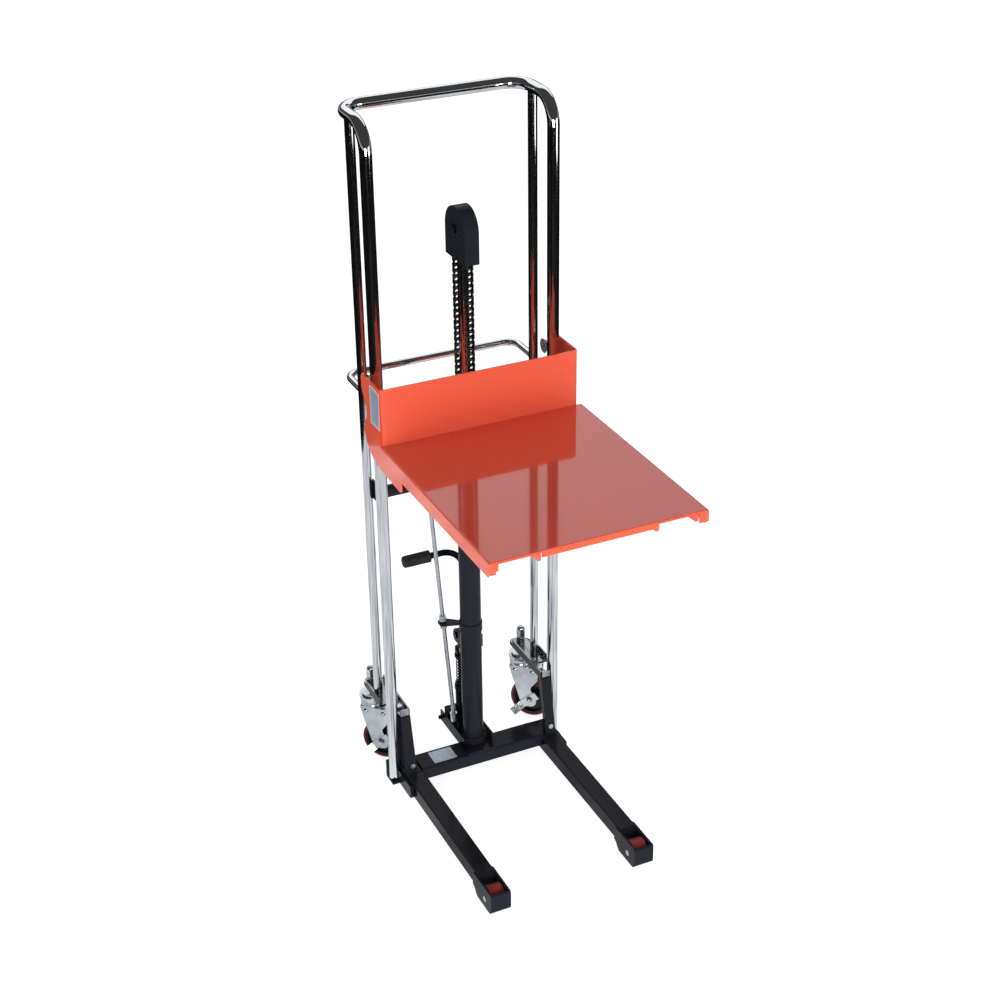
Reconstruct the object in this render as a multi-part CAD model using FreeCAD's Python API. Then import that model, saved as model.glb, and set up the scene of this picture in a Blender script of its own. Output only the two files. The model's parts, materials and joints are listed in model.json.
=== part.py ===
import FreeCAD, Part
import math
import os

# Walkie stacker: a hand-pumped light fork lift with a round-post mast and a slip-on deck.
# Everything is drawn about the mast: x = 0 is the centre plane, y = 0 is the plane of the
# front posts, -Y is the deck's side and z = 0 is the floor. to_frame() then moves it, so that
# the origin lies under the middle of the whole machine.
MAST_X, MAST_Y = -15.7, 250.0

# driving dimensions, in millimetres
MAST_TOP = 1961.0
POST_X, POST_R, POST_WALL = 251.0, 16.0, 3.0
POST_FOOT_Z = 36.0
REAR_X, REAR_Y, REAR_R = 247.5, 111.0, 12.5
LOOP_BACK_Y, LOOP_TOP_BEND, LOOP_CORNER = 180.0, 70.0, 60.0
HANDLE_Z, HANDLE_R, HANDLE_BACK_Y = 1205.0, 10.0, 232.0

DECK_TOP, DECK_LEFT, DECK_RIGHT, DECK_FRONT, DECK_T = 1141.0, -282.0, 291.0, -742.0, 3.0
DECK_SKIRT, DECK_LIP = 41.0, 17.0
PANEL_Y, PANEL_TOP, PANEL_HALF, PANEL_T = -92.0, 1297.0, 279.0, 4.0
LEG_CLEAR_Z = 1131.0
FORK_IN, FORK_OUT, FORK_T, FORK_DEPTH = 152.0, 264.0, 5.0, 44.0

LEG_IN, LEG_OUT, LEG_LOW, LEG_TOP = 187.0, 237.0, 28.0, 74.0
LEG_REAR_Y, TIP_Y, TIP_BACK_Y = 20.0, -626.0, -530.0
LOAD_R, LOAD_Y = 33.0, -586.0
BEAM_FRONT, BEAM_BACK, BEAM_LOW, BEAM_TOP = -58.0, 17.0, 40.0, 80.0
TRAY_Z, TRAY_T, TRAY_TOP, TRAY_IN, TRAY_OUT = 245.0, 7.0, 270.0, 205.0, 265.0
TRAY_FRONT, TRAY_END, UPRIGHT_T = -21.0, 205.0, 6.0

CYL_Y, CYL_R, CYL_BORE, CYL_LOW, CYL_TOP = 10.0, 30.0, 24.0, 86.0, 1008.0
ROD_R, ROD_LOW, PISTON_H = 14.0, 640.0, 40.0
PULLEY_Z, PULLEY_R, CHAIN_R, CHAIN_HALF_H, CHAIN_HALF_W = 1645.0, 33.3, 41.0, 7.5, 9.5
COVER_HALF, COVER_R, COVER_LOW, COVER_WALL = 20.0, 60.0, 1565.0, 2.0
ANCHOR_Z = 750.0
BRACKET_Z = 1220.0

GUIDE_R, GUIDE_HALF, GUIDE_GROOVE, GUIDE_Y = 22.0, 13.0, 16.2, 30.0
GUIDE_TOP_Z, GUIDE_LOW_Z = 1270.0, 1140.0

KINGPIN_X, KINGPIN_Y, KINGPIN_R, KINGPIN_TOP = 240.0, 186.0, 7.0, 300.0
CASTER_TRAIL, WHEEL_R, WHEEL_HALF, AXLE_R, CORE_R = 35.0, 62.5, 20.0, 6.0, 54.5
SWIVEL_DEG = -45.0
FORK_PLATE_Z, FORK_PLATE_T, SWIVEL_DISC_R, CROWN_Z = 199.0, 10.0, 37.0, 169.0
BRAKE_T, BRAKE_HALF_W, BRAKE_DROP_DEG = 4.0, 12.0, 41.0

PUMP_X, PUMP_Y, PUMP_BLOCK_TOP = 5.0, 100.0, 128.0
PUMP_CYL_TOP, PUMP_ROLLER_Z, PUMP_ROLLER_R, CAM_GAP = 226.0, 340.0, 14.0, 0.6
LEVER_Z, LEVER_PIN_R, LEVER_HUB_R = 390.0, 10.0, 18.0
LEVER_BAR_X, LEVER_BAR_R, LEVER_TOP_Z = 20.0, 9.0, 670.0
LEVER_SWING, PUMP_STROKE = math.radians(40), 12.0
GRIP_R, GRIP_END_X, GRIP_LEN = 17.5, -161.0, 80.0
RELEASE_FOOT, RELEASE_LEAN, RELEASE_TOP_Z, RELEASE_R = (-40.0, 55.0), -0.0743, 1085.0, 6.0
GUIDE_ARM_Z = 470.0

FIT = 0.05          # radial clearance of a running fit
GAP = 0.4           # face clearance between bodies that move past each other

X, Y, Z = FreeCAD.Vector(1, 0, 0), FreeCAD.Vector(0, 1, 0), FreeCAD.Vector(0, 0, 1)
V = FreeCAD.Vector
nodes = {}


def to_frame(shape):
    moved = shape.copy()
    moved.translate(V(MAST_X, MAST_Y, 0))
    return moved


def add(name, *solids):
    nodes[name] = [solid for shape in solids for solid in shape.Solids]


def box(x0, x1, y0, y1, z0, z1):
    return Part.makeBox(x1 - x0, y1 - y0, z1 - z0, V(x0, y0, z0))


def rod(radius, start, end):
    start, end = V(*start), V(*end)
    return Part.makeCylinder(radius, (end - start).Length, start, end - start)


def tube(outer, inner, start, end):
    return rod(outer, start, end).cut(rod(inner, start, end))


def hexagon(across, height, centre, direction=Z):
    """A bolt head or nut, whose flats are `across` apart."""
    corners = [V(across / math.sqrt(3) * math.cos(math.radians(60 * i)),
                 across / math.sqrt(3) * math.sin(math.radians(60 * i)), 0) for i in range(7)]
    head = Part.Face(Part.makePolygon(corners)).extrude(V(0, 0, height))
    head.Placement = FreeCAD.Placement(V(*centre), FreeCAD.Rotation(Z, direction))
    return head


def mirror(shape):
    return shape.mirror(V(0, 0, 0), X)


def both(shape):
    return [shape, mirror(shape)]


def fuse(*shapes):
    joined = shapes[0]
    for shape in shapes[1:]:
        joined = joined.fuse(shape)
    return joined.removeSplitter()


def rounded_wire(points, closed=True):
    """A wire through `points`, each a vector and the radius of the arc that rounds it."""
    edges, last, first = [], None, None
    count = len(points)
    for i, (corner, radius) in enumerate(points):
        if not closed and i in (0, count - 1) or radius == 0:
            start = end = corner
            arc = None
        else:
            before = (points[i - 1][0] - corner).normalize()
            after = (points[(i + 1) % count][0] - corner).normalize()
            half = before.getAngle(after) / 2
            reach = radius / math.tan(half)
            start, end = corner + before * reach, corner + after * reach
            middle = (before + after).normalize()
            arc = Part.Arc(start, corner + middle * (radius / math.sin(half) - radius), end)
        if last is not None and (start - last).Length > 1e-6:
            edges.append(Part.makeLine(last, start))
        if arc is not None:
            edges.append(arc.toShape())
        first = start if first is None else first
        last = end
    if closed and (first - last).Length > 1e-6:
        edges.append(Part.makeLine(last, first))
    return Part.Wire(edges)


def bent_bar(points, radius):
    """A round bar along straight runs and tangent arcs."""
    path = rounded_wire([(V(*p), r) for p, r in points], closed=False)
    start = path.Edges[0].valueAt(path.Edges[0].FirstParameter)
    along = path.Edges[0].tangentAt(path.Edges[0].FirstParameter)
    section = Part.Wire(Part.makeCircle(radius, start, along))
    return path.makePipeShell([section], True, True)


def bent_tube(points, radius, wall):
    return bent_bar(points, radius).cut(bent_bar(points, radius - wall))


def side_plate(x0, x1, outline):
    """A plate in the YZ plane; the outline's entries are (y, z, corner radius)."""
    wire = rounded_wire([(V(x0, y, z), r) for y, z, r in outline])
    return Part.Face(wire).extrude(V(x1 - x0, 0, 0))


def flat_plate(z0, z1, outline):
    wire = rounded_wire([(V(x, y, z0), r) for x, y, r in outline])
    return Part.Face(wire).extrude(V(0, 0, z1 - z0))


def front_plate(y0, y1, outline):
    wire = rounded_wire([(V(x, y0, z), r) for x, z, r in outline])
    return Part.Face(wire).extrude(V(0, y1 - y0, 0))


# ---- mast -----------------------------------------------------------------------------------

def mast():
    top = MAST_TOP - POST_R
    loop = [((-POST_X, 0, POST_FOOT_Z), 0), ((-POST_X, 0, top), LOOP_TOP_BEND),
            ((-POST_X, LOOP_BACK_Y, top), LOOP_CORNER), ((POST_X, LOOP_BACK_Y, top), LOOP_CORNER),
            ((POST_X, 0, top), LOOP_TOP_BEND), ((POST_X, 0, POST_FOOT_Z), 0)]
    outside = bent_bar(loop, POST_R)
    add("mast_loop", outside.cut(bent_bar(loop, POST_R - POST_WALL)))

    rear = rod(REAR_R, (REAR_X, REAR_Y, TRAY_Z + TRAY_T), (REAR_X, REAR_Y, top)).cut(outside)
    add("rear_posts", *both(rear))

    reach = REAR_Y + REAR_R - 1.5
    handle = bent_tube([((-REAR_X, reach, HANDLE_Z), 0), ((-REAR_X, HANDLE_BACK_Y, HANDLE_Z), 38),
                        ((REAR_X, HANDLE_BACK_Y, HANDLE_Z), 38), ((REAR_X, reach, HANDLE_Z), 0)],
                       HANDLE_R, 2.5)
    posts = fuse(*[rod(REAR_R, (x, REAR_Y, HANDLE_Z - 30), (x, REAR_Y, HANDLE_Z + 30))
                   for x in (-REAR_X, REAR_X)])
    add("push_handle", handle.cut(posts))

    outer = POST_X - POST_R
    link = side_plate(outer - 6, outer, [(56, 886, 10), (124, 886, 10), (124, 940, 10), (56, 940, 10)])
    cross = tube(17, 14, (-outer + 6, 80, 914), (outer - 6, 80, 914))
    add("cross_member", cross, *both(link))


# ---- base -----------------------------------------------------------------------------------

def straddle_leg():
    """The right-hand straddle leg with its load-roller housing, open above and below."""
    beam = box(LEG_IN, LEG_OUT, TIP_BACK_Y - 5, LEG_REAR_Y, LEG_LOW, LEG_TOP)
    beam = beam.makeFillet(4, [e for e in beam.Edges if abs(e.tangentAt(0).y) > 0.9])
    hollow = box(LEG_IN + 4, LEG_OUT - 4, TIP_BACK_Y, LEG_REAR_Y - 4, LEG_LOW + 4, LEG_TOP - 4)
    cheek = [(TIP_Y, 7, 14), (TIP_BACK_Y - 8, 7, 12), (TIP_BACK_Y + 10, LEG_LOW, 14),
             (TIP_BACK_Y + 18, LEG_LOW, 0), (TIP_BACK_Y + 18, LEG_TOP - 4, 6), (TIP_Y, LEG_TOP - 4, 6)]
    outside = side_plate(LEG_IN - 4, LEG_OUT + 4, cheek)
    pocket = box(LEG_IN + 1, LEG_OUT - 1, TIP_Y + 5, TIP_BACK_Y - 5, 0, 100)
    joined = fuse(outside, beam).cut(pocket).cut(hollow)
    return joined.cut(rod(8, (LEG_IN - 10, LOAD_Y, LOAD_R), (LEG_OUT + 10, LOAD_Y, LOAD_R)))


def base():
    leg = straddle_leg().cut(rod(POST_R, (POST_X, 0, 0), (POST_X, 0, 200)))
    add("leg_right", leg)
    add("leg_left", mirror(leg))

    axle = rod(8, (LEG_IN - 4, LOAD_Y, LOAD_R), (LEG_OUT + 4, LOAD_Y, LOAD_R))
    add("load_roller_axles", *both(axle))
    roller = rod(LOAD_R, (LEG_IN + 5, LOAD_Y, LOAD_R), (LEG_OUT - 5, LOAD_Y, LOAD_R))
    roller = roller.makeFillet(2, [e for e in roller.Edges if len(e.Vertexes) == 1])
    roller = roller.cut(rod(8 + FIT, (0, LOAD_Y, LOAD_R), (400, LOAD_Y, LOAD_R)))
    add("load_roller_right", roller)
    add("load_roller_left", mirror(roller))

    beam = box(-LEG_IN, LEG_IN, BEAM_FRONT, BEAM_BACK, BEAM_LOW, BEAM_TOP)
    beam = beam.makeFillet(5, [e for e in beam.Edges if abs(e.tangentAt(0).x) > 0.9])
    add("base_crossbeam", beam.cut(box(-LEG_IN, LEG_IN, BEAM_FRONT + 4, BEAM_BACK - 4,
                                       BEAM_LOW + 4, BEAM_TOP - 4)))
    label = flat_plate(BEAM_TOP, BEAM_TOP + 0.6, [(-146, -48, 3), (-76, -48, 3), (-76, 6, 3), (-146, 6, 3)])
    add("base_label", label)

    # shoe at the foot of each front post, welded to the leg's outer side
    inner, outer, post_side = LEG_OUT, LEG_OUT + 10, POST_X + POST_R + 1
    block = box(inner, outer, -104, -POST_R - 0.5, 28, 67)
    block = block.makeFillet(3, [e for e in block.Edges if abs(e.tangentAt(0).x) > 0.9])
    sole = box(inner - 4, post_side, -24, POST_R + 9, POST_FOOT_Z - 8, POST_FOOT_Z)
    back = box(inner, post_side, POST_R + 1, POST_R + 9, POST_FOOT_Z - 8, 84)
    add("post_shoes", *both(fuse(block, sole.cut(leg), back)))

    # upright: a leaning front plate with a gusset on each side, under the caster tray
    lean = [(BEAM_FRONT, LEG_TOP, 0), (TRAY_FRONT, TRAY_Z, 0)]
    plate = side_plate(TRAY_IN, 234, lean + [(TRAY_FRONT + UPRIGHT_T, TRAY_Z, 0),
                                             (BEAM_FRONT + UPRIGHT_T, LEG_TOP, 0)])
    lip = side_plate(TRAY_IN, TRAY_IN + 5, [(TRAY_FRONT + 2, TRAY_Z, 0), (TRAY_FRONT + 18, TRAY_Z, 0),
                                            (BEAM_FRONT + 16, LEG_TOP, 0), (BEAM_FRONT + 2, LEG_TOP, 0)])
    gusset = side_plate(229, 234, [(TRAY_FRONT + 2, TRAY_Z, 0), (39, TRAY_Z, 6), (BEAM_BACK, 139, 20),
                                   (BEAM_BACK, LEG_TOP, 0), (BEAM_FRONT + 2, LEG_TOP, 0)])
    add("uprights", *both(fuse(plate, lip, gusset)))

    clear_x, clear_y = POST_X - POST_R - 1.5, 56
    rim = [(TRAY_IN, TRAY_FRONT, 3), (clear_x, TRAY_FRONT, 0), (clear_x, clear_y, 0),
           (TRAY_OUT, clear_y, 0), (TRAY_OUT, TRAY_END - 24, 16), (KINGPIN_X + 12, TRAY_END, 16),
           (TRAY_IN, TRAY_END, 20)]
    web = flat_plate(TRAY_Z, TRAY_Z + TRAY_T, rim)
    flange_top, flange_end = (TRAY_Z + TRAY_T, TRAY_TOP), TRAY_END - 33
    flanges = [box(TRAY_IN, TRAY_IN + 4, TRAY_FRONT + 3, flange_end, *flange_top),
               box(TRAY_OUT - 4, TRAY_OUT, clear_y, flange_end - 12, *flange_top),
               box(TRAY_IN + 3, clear_x, TRAY_FRONT, TRAY_FRONT + 4, *flange_top)]
    tray = fuse(web, *flanges)
    tray = tray.cut(rod(KINGPIN_R, (KINGPIN_X, KINGPIN_Y, 200), (KINGPIN_X, KINGPIN_Y, 280)))
    add("caster_trays", *both(tray))

    bolts = [hexagon(17, 8, (sign * 221, y, TRAY_Z + TRAY_T)) for sign in (-1, 1) for y in (22, 66)]
    bolts += [hexagon(13, 6, (sign * (POST_X - POST_R - 6), 108, z), V(-sign, 0, 0))
              for sign in (-1, 1) for z in (900, 928)]
    bolts += [hexagon(13, 7, (sign * 218, -53.0, 100), V(0, -1, 0.17)) for sign in (-1, 1)]
    add("frame_bolts", *bolts)


# ---- casters --------------------------------------------------------------------------------

def caster(side):
    """A braked swivel caster, drawn with its kingpin on the Z axis and trailing to +X."""
    sign = -1 if side == "left" else 1
    axle_z, trail = WHEEL_R, CASTER_TRAIL
    cheek_in, cheek_t, crown_t = WHEEL_HALF + 4, 4, 6
    cheek_out = cheek_in + cheek_t
    crown_top = CROWN_Z + crown_t
    plate = rod(SWIVEL_DISC_R, (0, 0, FORK_PLATE_Z), (0, 0, FORK_PLATE_Z + FORK_PLATE_T))
    neck = rod(SWIVEL_DISC_R - 6, (0, 0, crown_top), (0, 0, FORK_PLATE_Z))
    rear_x, front_x = -29, trail + 28
    crown = flat_plate(CROWN_Z, crown_top, [(rear_x, -cheek_out, 8), (front_x, -cheek_out, 6),
                                            (front_x, cheek_out, 6), (rear_x, cheek_out, 8)])
    far = front_plate(cheek_in, cheek_out, [
        (rear_x, crown_top, 0), (front_x, crown_top, 0), (trail + 24, 38, 20),
        (trail - 21, 38, 20), (trail - 31, axle_z, 10), (rear_x + 12, 132, 30)])
    near = front_plate(-cheek_out, -cheek_in, [
        (rear_x, crown_top, 0), (front_x, crown_top, 0), (front_x - 2, 134, 5), (trail + 1, 100, 14),
        (trail + 22, 72, 14), (trail + 22, 38, 20), (trail - 21, 38, 20), (trail - 31, axle_z, 10),
        (rear_x + 12, 132, 30)])
    fork = fuse(plate, neck, crown, far, near)
    fork = fork.cut(rod(KINGPIN_R + FIT, (0, 0, 100), (0, 0, 240)))
    brake_face = -cheek_out - GAP
    nut_face = brake_face - BRAKE_T - GAP
    axle = rod(AXLE_R, (trail, nut_face - 10, axle_z), (trail, cheek_out + 12, axle_z))
    fork = fuse(fork.cut(axle), axle,
                hexagon(18, 6, (trail, nut_face, axle_z), V(0, -1, 0)),
                hexagon(18, 8, (trail, cheek_out, axle_z), Y))

    core = rod(CORE_R, (trail, -WHEEL_HALF + 1, axle_z), (trail, WHEEL_HALF - 1, axle_z))
    hub = rod(16, (trail, -WHEEL_HALF - 3, axle_z), (trail, WHEEL_HALF + 3, axle_z))
    dish = tube(CORE_R - 7, 22, (trail, -WHEEL_HALF, axle_z), (trail, -WHEEL_HALF + 8, axle_z))
    core = fuse(core, hub).cut(dish).cut(dish.mirror(V(0, 0, 0), Y))
    core = core.cut(rod(AXLE_R + FIT, (trail, -60, axle_z), (trail, 60, axle_z)))
    tyre = rod(WHEEL_R, (trail, -WHEEL_HALF, axle_z), (trail, WHEEL_HALF, axle_z))
    tyre = tyre.makeFillet(5, [e for e in tyre.Edges if len(e.Vertexes) == 1])
    tyre = tyre.cut(rod(CORE_R, (trail, -WHEEL_HALF, axle_z), (trail, WHEEL_HALF, axle_z)))

    # brake lever: a strap that turns on the axle end, with its pedal bent outward past the tyre
    brake = flat_plate(-BRAKE_HALF_W, BRAKE_HALF_W, [
        (-33, brake_face, 0), (27, brake_face, 10), (60, brake_face - 22, 0), (58, brake_face - 25, 0),
        (26, brake_face - BRAKE_T, 10), (-33, brake_face - BRAKE_T, 0)])
    brake.rotate(V(0, 0, 0), Y, 180 - BRAKE_DROP_DEG)
    brake.translate(V(trail, 0, axle_z))
    brake = brake.cut(rod(AXLE_R + FIT, (trail, -60, axle_z), (trail, 60, axle_z)))

    for name, shape in (("fork", fork), ("core", core), ("tyre", tyre), ("brake", brake)):
        shape.rotate(V(0, 0, 0), Z, SWIVEL_DEG)
        shape.translate(V(sign * KINGPIN_X, KINGPIN_Y, 0))
        add("caster_" + name + "_" + side, shape)


def kingpins():
    low = CROWN_Z - 6
    stem = rod(KINGPIN_R, (0, 0, low), (0, 0, KINGPIN_TOP))
    keeper = rod(13, (0, 0, low), (0, 0, CROWN_Z - GAP))
    race = rod(30, (0, 0, FORK_PLATE_Z + FORK_PLATE_T + GAP), (0, 0, FORK_PLATE_Z + FORK_PLATE_T + 7))
    lock_low = hexagon(24, 10, (0, 0, TRAY_Z - 10))
    nuts = [hexagon(24, 12, (0, 0, z)) for z in (TRAY_Z + TRAY_T, KINGPIN_TOP - 32, KINGPIN_TOP - 19)]
    pin = fuse(stem, keeper, race, lock_low, *nuts)
    pin.translate(V(KINGPIN_X, KINGPIN_Y, 0))
    add("kingpins", *both(pin))


# ---- lift cylinder, pulley and chain ----------------------------------------------------------

def hydraulics():
    barrel = tube(CYL_R, CYL_BORE, (0, CYL_Y, CYL_LOW + 20), (0, CYL_Y, CYL_TOP))
    barrel = fuse(barrel, rod(CYL_R, (0, CYL_Y, CYL_LOW), (0, CYL_Y, CYL_LOW + 20)))
    add("cylinder_tube", barrel)
    gland = tube(CYL_R + 1.5, ROD_R + FIT, (0, CYL_Y, CYL_TOP), (0, CYL_Y, CYL_TOP + 16))
    spigot = tube(CYL_BORE, ROD_R + FIT, (0, CYL_Y, CYL_TOP - 30), (0, CYL_Y, CYL_TOP))
    add("cylinder_gland", fuse(gland, spigot))

    piston = rod(CYL_BORE - FIT, (0, CYL_Y, ROD_LOW), (0, CYL_Y, ROD_LOW + PISTON_H))
    stem = rod(ROD_R, (0, CYL_Y, ROD_LOW), (0, CYL_Y, PULLEY_Z - 75))
    add("piston_rod", fuse(piston, stem))

    block = box(-17.5, 17.5, CYL_Y - 20, CYL_Y + 20, PULLEY_Z - 75, PULLEY_Z - 50)
    ear = side_plate(14.5, 17.5, [(CYL_Y - 20, PULLEY_Z - 50, 0), (CYL_Y + 20, PULLEY_Z - 50, 0),
                                  (CYL_Y + 20, PULLEY_Z + 20, 19), (CYL_Y - 20, PULLEY_Z + 20, 19)])
    yoke = fuse(block, ear, mirror(ear)).cut(rod(8, (-30, CYL_Y, PULLEY_Z), (30, CYL_Y, PULLEY_Z)))
    add("pulley_yoke", yoke)

    def cover_outline(radius, low):
        return [(CYL_Y - radius, low, 0), (CYL_Y + radius, low, 0),
                (CYL_Y + radius, PULLEY_Z + radius, radius - 0.01),
                (CYL_Y - radius, PULLEY_Z + radius, radius - 0.01)]
    skin = side_plate(-COVER_HALF, COVER_HALF, cover_outline(COVER_R, COVER_LOW))
    inside = side_plate(-COVER_HALF + COVER_WALL, COVER_HALF - COVER_WALL,
                        cover_outline(COVER_R - COVER_WALL, COVER_LOW - 5))
    add("pulley_cover", skin.cut(inside).cut(rod(8, (-30, CYL_Y, PULLEY_Z), (30, CYL_Y, PULLEY_Z))))

    axle = fuse(rod(8, (-COVER_HALF - 2, CYL_Y, PULLEY_Z), (COVER_HALF + 2, CYL_Y, PULLEY_Z)),
                hexagon(22, 9, (-COVER_HALF, CYL_Y, PULLEY_Z), V(-1, 0, 0)),
                hexagon(22, 6, (COVER_HALF, CYL_Y, PULLEY_Z), X))
    add("pulley_axle", axle)

    wheel = rod(PULLEY_R, (-13, CYL_Y, PULLEY_Z), (13, CYL_Y, PULLEY_Z))
    for x in (-13, 10.5):
        wheel = fuse(wheel, rod(CHAIN_R + 5, (x, CYL_Y, PULLEY_Z), (x + 2.5, CYL_Y, PULLEY_Z)))
    add("chain_pulley", wheel.cut(rod(8 + FIT, (-30, CYL_Y, PULLEY_Z), (30, CYL_Y, PULLEY_Z))))

    wrap = tube(CHAIN_R + CHAIN_HALF_H, CHAIN_R - CHAIN_HALF_H,
                (-CHAIN_HALF_W, CYL_Y, PULLEY_Z), (CHAIN_HALF_W, CYL_Y, PULLEY_Z))
    add("chain_wrap", wrap.common(box(-50, 50, -100, 120, PULLEY_Z, PULLEY_Z + 100)))

    def strand(y, low):
        return box(-CHAIN_HALF_W, CHAIN_HALF_W, y - CHAIN_HALF_H, y + CHAIN_HALF_H, low, PULLEY_Z)
    add("chain_front", strand(CYL_Y - CHAIN_R, BRACKET_Z + 42))
    add("chain_rear", strand(CYL_Y + CHAIN_R, ANCHOR_Z))
    anchor = box(-12, 12, CYL_Y + CYL_R - 0.5, CYL_Y + CHAIN_R + CHAIN_HALF_H + 1, ANCHOR_Z - 34, ANCHOR_Z)
    add("chain_anchor", anchor.cut(rod(CYL_R, (0, CYL_Y, 700), (0, CYL_Y, 760))))

    low, high = GUIDE_ARM_Z - 10, GUIDE_ARM_Z + 16
    band = tube(CYL_R + 3, CYL_R, (0, CYL_Y, low), (0, CYL_Y, high))
    ear = box(-8, 8, CYL_Y + CYL_R + 2, CYL_Y + CYL_R + 14, low, high)
    slot = box(-1.5, 1.5, CYL_Y + CYL_R - 3, CYL_Y + CYL_R + 20, low - 1, high + 1)
    add("cylinder_clamp", fuse(band, ear).cut(slot))

    foot_top, lug_end = CYL_LOW + 20, CYL_R + 9
    ring = tube(CYL_R + 6, CYL_R, (0, CYL_Y, CYL_LOW), (0, CYL_Y, foot_top))
    lug = box(CYL_R + 2, lug_end, CYL_Y - 12, CYL_Y + 12, CYL_LOW, foot_top)
    bolt = hexagon(13, 5, (CYL_R + 3, CYL_Y - 3, foot_top))
    foot = fuse(ring, lug, mirror(lug), bolt, mirror(bolt)).cut(rod(CYL_R, (0, CYL_Y, 80), (0, CYL_Y, 120)))
    add("cylinder_foot", foot.cut(box(-60, 60, CYL_Y + CYL_R + 2, 90, 80, 120)))


# ---- pump -----------------------------------------------------------------------------------

def pump():
    channel = box(-45, 45, BEAM_FRONT, 143, BEAM_TOP, CYL_LOW)
    sides = [box(x, x + 4, -30, 143, CYL_LOW, 116) for x in (-45, 41)]
    pin = rod(6, (-56, 140 - 10, 98), (-45, 140 - 10, 98))
    add("pump_base", fuse(channel, *sides, pin))

    block = box(-36, 36, CYL_Y + CYL_R + 2, 136, CYL_LOW, PUMP_BLOCK_TOP)
    block = block.makeFillet(4, [e for e in block.Edges if abs(e.tangentAt(0).z) > 0.9])
    barrel = rod(17, (PUMP_X, PUMP_Y, PUMP_BLOCK_TOP), (PUMP_X, PUMP_Y, PUMP_CYL_TOP))
    rim = rod(19, (PUMP_X, PUMP_Y, PUMP_CYL_TOP - 22), (PUMP_X, PUMP_Y, PUMP_CYL_TOP - 8))
    bore = rod(8 + FIT, (PUMP_X, PUMP_Y, 96), (PUMP_X, PUMP_Y, PUMP_CYL_TOP + 10))
    add("pump_block", fuse(block, barrel, rim).cut(bore))

    cap_z = PUMP_ROLLER_Z - 26
    plunger = rod(8, (PUMP_X, PUMP_Y, 112), (PUMP_X, PUMP_Y, cap_z))
    cap = rod(17, (PUMP_X, PUMP_Y, cap_z), (PUMP_X, PUMP_Y, cap_z + 8))
    ears = [box(PUMP_X + x, PUMP_X + x + 4, PUMP_Y - 9, PUMP_Y + 9, cap_z + 8, PUMP_ROLLER_Z + 8)
            for x in (-13, 9)]
    pin = rod(4, (PUMP_X - 15, PUMP_Y, PUMP_ROLLER_Z), (PUMP_X + 15, PUMP_Y, PUMP_ROLLER_Z))
    add("pump_plunger", fuse(plunger, cap, *ears, pin))
    roller = tube(PUMP_ROLLER_R, 4 + FIT, (PUMP_X - 8.5, PUMP_Y, PUMP_ROLLER_Z),
                  (PUMP_X + 8.5, PUMP_Y, PUMP_ROLLER_Z))
    add("pump_roller", roller)
    add("plunger_spring", tube(15, 10, (PUMP_X, PUMP_Y, PUMP_CYL_TOP), (PUMP_X, PUMP_Y, cap_z)))

    # lever bracket behind the cylinder, with a collar on the pin's right end
    cheek_left, cheek_right, cheek_t = -8, 44, 6
    low, high, face = LEVER_Z - 20, LEVER_Z + 20, CYL_Y + CYL_R + 5
    back = box(cheek_left, cheek_right + cheek_t, CYL_Y + CYL_R, face, low, high)
    cheeks = [side_plate(x, x + cheek_t, [(face, low, 0), (PUMP_Y, low + 2, 0), (PUMP_Y + 18, low + 2, 17),
                                          (PUMP_Y + 18, high - 2, 17), (face, high, 0)])
              for x in (cheek_left, cheek_right)]
    pin_end = cheek_right + cheek_t + 17
    pin = rod(LEVER_PIN_R, (cheek_left - 4, PUMP_Y, LEVER_Z), (pin_end, PUMP_Y, LEVER_Z))
    collar = rod(LEVER_HUB_R - 2, (cheek_right + cheek_t, PUMP_Y, LEVER_Z), (pin_end - 1, PUMP_Y, LEVER_Z))
    add("lever_bracket", fuse(back, *cheeks, pin, collar))

    hub = rod(LEVER_HUB_R, (cheek_left + cheek_t + 1, PUMP_Y, LEVER_Z), (cheek_right - 1, PUMP_Y, LEVER_Z))
    bar = bent_bar([((LEVER_BAR_X, PUMP_Y, LEVER_Z), 0), ((LEVER_BAR_X, PUMP_Y, LEVER_TOP_Z), 65),
                    ((GRIP_END_X + 4, PUMP_Y, LEVER_TOP_Z), 0)], LEVER_BAR_R)
    add("pump_lever", fuse(hub, bar, cam()).cut(
        rod(LEVER_PIN_R + FIT, (-20, PUMP_Y, LEVER_Z), (90, PUMP_Y, LEVER_Z))))
    grip = rod(GRIP_R, (GRIP_END_X, PUMP_Y, LEVER_TOP_Z), (GRIP_END_X + GRIP_LEN, PUMP_Y, LEVER_TOP_Z))
    grip = grip.makeFillet(4, [e for e in grip.Edges if len(e.Vertexes) == 1])
    core = rod(LEVER_BAR_R, (GRIP_END_X + 4, PUMP_Y, LEVER_TOP_Z), (0, PUMP_Y, LEVER_TOP_Z))
    add("lever_grip", grip.cut(core))


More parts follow.
